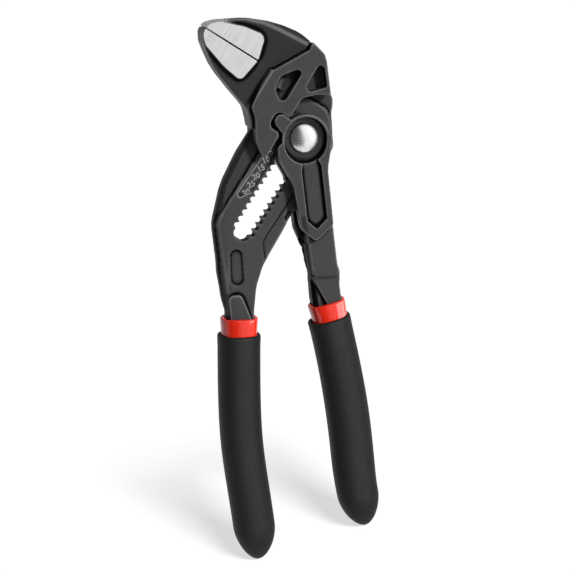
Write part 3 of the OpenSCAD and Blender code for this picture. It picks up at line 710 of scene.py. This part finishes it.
# Handle coats: each is a closed sleeve lofted down the handle's curve, a path of four control points
gripPlan = {
    "name": "black_grip_", "slot": "black_dip", "material": blackVinyl,
    "path": {"left": [(-14.86, 76.8), (-25.54, 33.82), (-22.11, 40.63), (-26.81, 0.02)],
             "right": [(15.05, 73.6), (15.3, 26.4), (9.3, 22.59), (11.39, 0)]},
    "wide": 6.85, "deep": 6.6, "square": 2.4, "rings": 96, "show": 0.0, "short": 0.0,
    "round": 14.0, "point": 1.18, "lip": 0.8, "flare": 0.1, "flareLong": 5.0,
    "belly": {"left": 0.0, "right": 0.2},
    "bore": 5.85, "boreDeep": 5.45, "boreSquare": 2.4, "boreShort": 10.6,
}
sleevePlan = {
    "name": "red_sleeve_", "slot": "red_dip", "material": redVinyl,
    "path": {"left": [(-14.86, 76.8), (-25.54, 33.82), (-22.11, 40.63), (-26.81, 0.02)],
             "right": [(15.36, 73.6), (14.87, 26.4), (9.89, 22.59), (11.39, 0)]},
    "wide": 5.8, "deep": 5.4, "square": 2.4, "rings": 90, "show": 5.2, "short": 10.5,
    "round": 4.0, "point": 1.0, "lip": 0.45, "flare": 0.25, "flareLong": 5.0,
    "belly": {"left": 0.0, "right": 0.0},
    "bore": 4.65, "boreDeep": 3.65, "boreSquare": 14.0, "boreShort": 18.0,
}
coatMesh = {"sides": 72, "bore": 30, "lipInside": 4, "lipOutside": 7, "flare": 8, "end": 26, "tip": 0.012}
bellySpan = {"from": (0.05, 0.35), "full": 0.55}  # shares of the path


def onCurve(path, t):
    p = np.array(path)
    t = np.asarray(t, float)[..., None]
    place = (1 - t) ** 3 * p[0] + 3 * t * (1 - t) ** 2 * p[1] + 3 * t * t * (1 - t) * p[2] + t ** 3 * p[3]
    run = (1 - t) ** 2 * (p[1] - p[0]) + 2 * t * (1 - t) * (p[2] - p[1]) + t * t * (p[3] - p[2])
    run = run / np.linalg.norm(run, axis=-1, keepdims=True)
    return place, np.stack([-run[..., 1], run[..., 0]], -1)


def belowRim(path, length):
    return length / (3 * math.dist(path[0], path[1]))


def aboveEnd(path, length):
    return 1 - length / (3 * math.dist(path[3], path[2]))


def ring(path, t, wide, deep, square):
    angle = np.arange(coatMesh["sides"]) * 2 * math.pi / coatMesh["sides"]
    u, v = [np.sign(c) * np.abs(c) ** (2 / square) for c in (np.cos(angle), np.sin(angle))]
    place, beside = onCurve(path, t)
    flat = place + np.outer(wide * u, beside)
    return np.stack([flat[:, 0], deep * v, flat[:, 1]], -1) * mm


def lofted(name, rings, material):
    sides = len(rings[0])
    faces = []
    for r in range(len(rings) - 1):
        for i in range(sides):
            a, b = r * sides + i, r * sides + (i + 1) % sides
            faces.append((a, a + sides, b + sides, b))
    last = (len(rings) - 1) * sides
    faces += [tuple(range(sides)), tuple(range(last + sides - 1, last - 1, -1))]
    mesh = bpy.data.meshes.new(name)
    mesh.from_pydata(np.concatenate(rings).tolist(), [], faces)
    bm = bmesh.new()
    bm.from_mesh(mesh)
    bmesh.ops.recalc_face_normals(bm, faces=bm.faces)
    bm.to_mesh(mesh)
    bm.free()
    mesh.materials.append(material)
    return linked(name, mesh)


def buildCoat(plan, side, body):
    # from the end of the bore up to the rim, over its rolled lip and down the outside to the closed end
    path, lip, belly = plan["path"][side], plan["lip"], plan["belly"][side]
    inner = lip * 0.5  # the lip rolls inward with half its radius
    top, end = belowRim(path, -plan["show"]), aboveEnd(path, plan["short"])
    boreEnd, boreTop = aboveEnd(path, plan["boreShort"]), top + belowRim(path, inner)
    rings = [ring(path, t, plan["bore"], plan["boreDeep"], plan["boreSquare"])
             for t in np.linspace(boreEnd, boreTop, coatMesh["bore"])]
    for a in np.linspace(math.pi, math.pi / 2, coatMesh["lipInside"])[1:]:
        out, drop = inner * (1 + math.cos(a)), inner * (1 - math.sin(a))
        rings.append(ring(path, top + belowRim(path, drop), plan["bore"] + out, plan["boreDeep"] + out,
                          plan["boreSquare"]))
    for a in np.linspace(math.pi / 2, 0, coatMesh["lipOutside"]):
        inset, drop = lip * (1 - math.cos(a)), lip * (1 - math.sin(a))
        rings.append(ring(path, top + belowRim(path, drop), plan["wide"] + plan["flare"] - inset,
                          plan["deep"] - inset, plan["square"]))
    turn = 1 - aboveEnd(path, plan["round"])
    start, settled, last = top + belowRim(path, lip), top + belowRim(path, plan["flareLong"]), end - turn
    for t in np.concatenate([np.linspace(start, settled, coatMesh["flare"])[1:],
                             np.linspace(settled, last, plan["rings"])[1:]]):
        swell = belly * smoothStep(*bellySpan["from"], t) * smoothStep(last, bellySpan["full"], t)
        wide = plan["wide"] + plan["flare"] * smoothStep(settled, start, t) + swell
        rings.append(ring(path, t, wide, plan["deep"], plan["square"]))
    for a in np.linspace(0, math.pi / 2, coatMesh["end"])[1:]:
        scale = max(math.cos(a) ** plan["point"], coatMesh["tip"])
        rings.append(ring(path, last + turn * math.sin(a), plan["wide"] * scale, plan["deep"] * scale,
                          plan["square"]))
    piece = lofted(plan["name"] + side + "_skin", rings, plan["material"])
    return finished(piece, body, [plan["name"] + side])


grips, sleeves = [], []
for side, body in (("left", "fixed_leg"), ("right", "lever")):
    grips.append(buildCoat(gripPlan, side, body))
    sleeves.append(buildCoat(sleevePlan, side, body))
print("handle coats made")

# Button: a turned dome with a small rim
buttonPlan = {"radius": 4.7, "back": 4.1, "rim": 0.3, "rise": 1.5, "edge": 0.18, "foot": 0.5, "chamfer": 0.1,
              "ease": 0.06, "easeRate": 20, "tip": 0.02, "sides": 128, "rings": 40,
              "smooth": math.radians(50)}


def buildButton():
    plan = buttonPlan
    radius, back, chamfer = plan["radius"], plan["back"], plan["chamfer"]
    sphere = (radius ** 2 + plan["rise"] ** 2) / (2 * plan["rise"])
    top = back + plan["rim"]
    profile = [(radius - plan["foot"], back), (radius - chamfer, back), (radius, back + chamfer),
               (radius, top - plan["edge"])]
    for a in np.linspace(0, 1, plan["rings"]):
        r = (radius - plan["ease"]) * (1 - a)
        ease = plan["ease"] * max(0.0, 1 - a * plan["easeRate"])
        height = top + plan["rise"] - sphere + math.sqrt(sphere ** 2 - r * r) - ease
        profile.append((max(r, plan["tip"]), height))
    angle = np.arange(plan["sides"]) * 2 * math.pi / plan["sides"]
    rings = [fromJaw(r * np.cos(angle), r * np.sin(angle), d) for r, d in profile]
    piece = lofted("domed_button", rings, brightButton)
    return finished(piece, "button", ["push_button"], plan["smooth"])


buildButton()

# Bolt, cap and key keep their packed form, with a fine ease on the edges
turnedPlan = {"finish": {"pivot_bolt": boltBlack, "rear_cap": boltBlack, "lock_key": hardSteel},
              "weld": 0.001, "ease": 0.12, "segments": 2, "angle": math.radians(40)}
for name, material in turnedPlan["finish"].items():
    node = nodes[name]
    node.data.materials.clear()
    node.data.materials.append(material)
    node.modifiers.new("weld", "WELD").merge_threshold = turnedPlan["weld"] * mm
    bevel = node.modifiers.new("ease", "BEVEL")
    bevel.width, bevel.segments = turnedPlan["ease"] * mm, turnedPlan["segments"]
    bevel.limit_method, bevel.angle_limit = "ANGLE", turnedPlan["angle"]

# Spring: a wire wound on a helix
springPlan = {"turns": 4.0, "radius": 1.72, "wire": 0.18, "front": 3.9, "base": 0.3,
              "segments": 32, "sides": 10}


def springTree():
    inputs = {"Turns": "Float", "Radius": "Float", "Length": "Float", "Wire": "Float", "Steel": "Material"}
    tree, given = newTree("wound_spring", inputs, "Spring")
    spiral = addNode(tree, "GeometryNodeCurveSpiral",
                     {"Rotations": given["Turns"], "Start Radius": given["Radius"],
                      "End Radius": given["Radius"], "Height": given["Length"]},
                     {"Resolution": springPlan["segments"]})
    sweepRound(tree, spiral.outputs[0], given["Wire"], springPlan["sides"], given["Steel"], "Spring")
    return tree


def buildSpring():
    plan = springPlan
    mesh = grown(springTree(), bpy.data.meshes.new("spring_start"), {
        "Turns": plan["turns"], "Radius": plan["radius"] * mm, "Length": (plan["front"] - plan["base"]) * mm,
        "Wire": plan["wire"] * mm, "Steel": hardSteel})
    mesh.name = "button_spring_wire"
    base = Vector((stance["boltX"], -plan["base"], stance["boltZ"])) * mm
    mesh.transform(Matrix.Translation(base) @ Matrix.Rotation(math.pi / 2, 4, "X"))
    piece = finished(linked("button_spring_wire", mesh), "carriage", ["button_spring"])
    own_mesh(piece)


buildSpring()
print("button and spring made")

# Scale beside the slot: plain numbers and a raised border line in the shallow strip
scalePlan = {
    "numbers": [("30", -24.2), ("25", -21.2), ("20", -18.2), ("15", -15.2), ("10", -12.2), ("5", -9.2)],
    "column": -6.4, "size": 2.6, "bold": 0.04, "lift": 0.1, "tilt": math.radians(8), "curveSteps": 3,
    "border": [(-7.7, -6.0), (-8.75, -25.4), (-8.55, -26.3), (-7.9, -26.8), (-7.2, -26.6), (-5.1, -23.4)],
    "line": 0.17, "lineLevel": 2.15, "lineSides": 8,
}
# Paint wiped off raised marks leaves them paler than the strip
markLook = {"pale": "#b4b4b4", "dull": "#8b8b8c", "rub": 0.5, "contrast": (0.35, 0.65), "specular": 0.3,
            "roughness": 0.55}


def makePaleMark():
    look = markLook
    material, tree, shader, place = newMaterial(
        "wiped_mark",
        **{"Metallic": 0.0, "Specular IOR Level": look["specular"], "Roughness": look["roughness"]})
    rub = addNode(tree, "ShaderNodeTexNoise", {"Vector": place}, {"Scale": perMm(look["rub"]), "Detail": 2.0})
    colour = twoTone(tree, rub.outputs["Fac"], look["contrast"], look["dull"], look["pale"])
    tree.links.new(colour, shader.inputs["Base Color"])
    return material


def beadTree():
    inputs = {"Path": "Geometry", "Radius": "Float", "Paint": "Material"}
    tree, given = newTree("bead_on_path", inputs, "Bead")
    curve = addNode(tree, "GeometryNodeMeshToCurve", {0: given["Path"]})
    sweepRound(tree, curve.outputs[0], given["Radius"], scalePlan["lineSides"], given["Paint"], "Bead")
    return tree


def buildScale():
    plan = scalePlan
    paleMark = makePaleMark()
    path = fromJaw(*np.array(plan["border"]).T, plan["lineLevel"])
    line = bpy.data.meshes.new("border_path")
    line.from_pydata(path.tolist(), [(i, i + 1) for i in range(len(path) - 1)], [])
    border = linked("scale_border", grown(beadTree(), line, {"Radius": plan["line"] * mm, "Paint": paleMark}))
    finished(border, "fixed_leg")
    upright = Matrix.Rotation(-plan["tilt"], 4, "Y") @ Matrix.Rotation(math.pi / 2, 4, "X")
    joined = bmesh.new()
    for word, across in plan["numbers"]:
        text = bpy.data.curves.new("number", "FONT")
        text.body, text.size = word, plan["size"] * mm
        text.extrude, text.offset = plan["lift"] * mm, plan["bold"] * mm
        text.align_x, text.align_y, text.resolution_u = "CENTER", "CENTER", plan["curveSteps"]
        mesh = takenFrom(linked("number", text))
        mesh.transform(Matrix.Translation(Vector(fromJaw(plan["column"], across, levels["strip"]))) @ upright)
        joined.from_mesh(mesh)
    bmesh.ops.remove_doubles(joined, verts=joined.verts, dist=mergeGap)
    mesh = bpy.data.meshes.new("scale_numbers")
    joined.to_mesh(mesh)
    joined.free()
    mesh.materials.append(paleMark)
    finished(linked("scale_numbers", mesh), "fixed_leg")


buildScale()
print("scale made")

# Studio: a pale floor in white surroundings, where shiny pieces see bright screens with a dark gap to the
# left of the camera and a lamp strip to the right
studio = {
    "ambient": 0.12, "gloss": 1.6,
    "surround": [(0.0, 0.3), (0.30, 0.5), (0.345, 0.045), (0.475, 0.045), (0.53, 0.65), (0.60, 0.8),
                 (0.65, 1.0), (0.72, 1.0), (0.75, 0.35), (1.0, 0.3)],
    "floorPaint": "#bcbcbc", "floorGlow": 0.63, "floorFront": 0.15, "floorFar": 6.0, "floorLow": 0.0001,
}
# Lamps: a low crisp key for the part, a softer one for the floor, where only the grips block it so that the
# shadow stays light, a strip that draws the highlight down the glossy red coats, a sheen for the matt grips
# and a fill for the back
lamps = {
    "part_key": {"kind": "SUN", "from": (0.50, -0.76, 0.40), "energy": 3.0, "angle": math.radians(9),
                 "shine": False},
    "floor_key": {"kind": "SUN", "from": (0.20, -0.82, 0.535), "energy": 3.9, "angle": math.radians(16),
                  "shine": False},
    "coat_strip": {"kind": "AREA", "from": (0.88, -0.34, -0.28), "energy": 0.2, "shape": "RECTANGLE",
                   "size": 0.2, "size_y": 0.07},
    "grip_sheen": {"kind": "SUN", "from": (0.36, -0.93, 0.05), "energy": 3.8, "angle": math.radians(25),
                   "flood": False},
    "back_fill": {"kind": "SUN", "from": (0.15, 0.95, 0.28), "energy": 2.0, "angle": math.radians(20),
                  "shine": False},
}
lampAway = 0.17


def buildSurround():
    plan = studio
    world = bpy.data.worlds.new("white_surround")
    bpy.context.scene.world = world
    world.use_nodes = True
    tree = world.node_tree
    tree.nodes.clear()
    looking = addNode(tree, "ShaderNodeTexCoord").outputs["Generated"]
    way = addNode(tree, "ShaderNodeSeparateXYZ", {0: looking}).outputs
    front = addNode(tree, "ShaderNodeMath", {0: way["Y"]}, {1: -1.0}, operation="MULTIPLY")
    turn = addNode(tree, "ShaderNodeMath", {0: way["X"], 1: front.outputs[0]}, operation="ARCTAN2")
    share = addNode(tree, "ShaderNodeMapRange", {"Value": turn.outputs[0]},
                    {"From Min": -math.pi, "From Max": math.pi})
    screens = addNode(tree, "ShaderNodeValToRGB", {"Fac": share.outputs[0]})
    stops = screens.color_ramp.elements
    for at, _ in plan["surround"][1:-1]:
        stops.new(at)
    for stop, (at, value) in zip(stops, plan["surround"]):
        stop.position, stop.color = at, grey(value)
    rays = addNode(tree, "ShaderNodeLightPath").outputs
    plain = addNode(tree, "ShaderNodeMapRange", {"Value": rays["Is Camera Ray"]},
                    {"To Min": plan["ambient"], "To Max": 1.0})
    shiny = addNode(tree, "ShaderNodeMath", {0: screens.outputs["Color"]}, {1: plan["gloss"]},
                    operation="MULTIPLY")
    # a Mix node of plain values has them on its sockets 2 and 3
    strength = addNode(tree, "ShaderNodeMix",
                       {mixShare: rays["Is Glossy Ray"], 2: plain.outputs[0], 3: shiny.outputs[0]})
    back = addNode(tree, "ShaderNodeBackground", {"Strength": strength.outputs[0]}, {"Color": grey(1.0)})
    addNode(tree, "ShaderNodeOutputWorld", {"Surface": back.outputs[0]})


# Matt paper that also glows to the eye and in reflections, so that it stays white and still takes the shadow
def buildFloor():
    plan = studio
    paper = bpy.data.materials.new("pale_studio_paper")
    paper.use_nodes = True
    tree = paper.node_tree
    tree.nodes.clear()
    rays = addNode(tree, "ShaderNodeLightPath").outputs
    seen = rays["Is Camera Ray"]
    for kind in ("Is Glossy Ray", "Is Transmission Ray"):
        seen = addNode(tree, "ShaderNodeMath", {0: seen, 1: rays[kind]}, operation="MAXIMUM").outputs[0]
    glow = addNode(tree, "ShaderNodeMath", {0: seen}, {1: plan["floorGlow"]}, operation="MULTIPLY")
    matt = addNode(tree, "ShaderNodeBsdfDiffuse", inputs={"Color": linear(plan["floorPaint"])})
    shine = addNode(tree, "ShaderNodeEmission", {"Strength": glow.outputs[0]}, {"Color": grey(1.0)})
    both = addNode(tree, "ShaderNodeAddShader", {0: matt.outputs[0], 1: shine.outputs[0]})
    addNode(tree, "ShaderNodeOutputMaterial", {"Surface": both.outputs[0]})
    mesh = bpy.data.meshes.new("studio_floor")
    far, near, low = plan["floorFar"], -plan["floorFront"], -plan["floorLow"]
    corners = [(-far, near, low), (far, near, low), (far, far, low), (-far, far, low)]
    mesh.from_pydata(corners, [], [(0, 1, 2, 3)])
    mesh.materials.append(paper)
    floor = linked("studio_floor", mesh)
    return floor


def addLamp(name, receivers, state, blockers=()):
    plan = dict(lamps[name])
    toward = Vector(plan.pop("from")).normalized()
    lamp = linked(name, bpy.data.lights.new(name, plan.pop("kind")))
    lamp.visible_glossy, lamp.visible_diffuse = plan.pop("shine", True), plan.pop("flood", True)
    for key, value in plan.items():
        setattr(lamp.data, key, value)
    lamp.location = cameraPlan["target"] + toward * lampAway
    lamp.rotation_mode = "QUATERNION"
    lamp.rotation_quaternion = toward.to_track_quat("Z", "Y")
    share = bpy.data.collections.new(name + "_share")
    for piece in receivers:
        share.objects.link(piece)
    for item in share.collection_objects:
        item.light_linking.link_state = state
    lamp.light_linking.receiver_collection = share
    if blockers:
        lamp.light_linking.blocker_collection = bpy.data.collections.new(name + "_blockers")
        for piece in blockers:
            lamp.light_linking.blocker_collection.objects.link(piece)


buildSurround()
floor = buildFloor()
addLamp("part_key", [floor], "EXCLUDE")
addLamp("floor_key", [floor], "INCLUDE", grips)
addLamp("coat_strip", sleeves, "INCLUDE", sleeves)
addLamp("grip_sheen", grips, "INCLUDE", grips)
addLamp("back_fill", [floor], "EXCLUDE")
print("studio set")
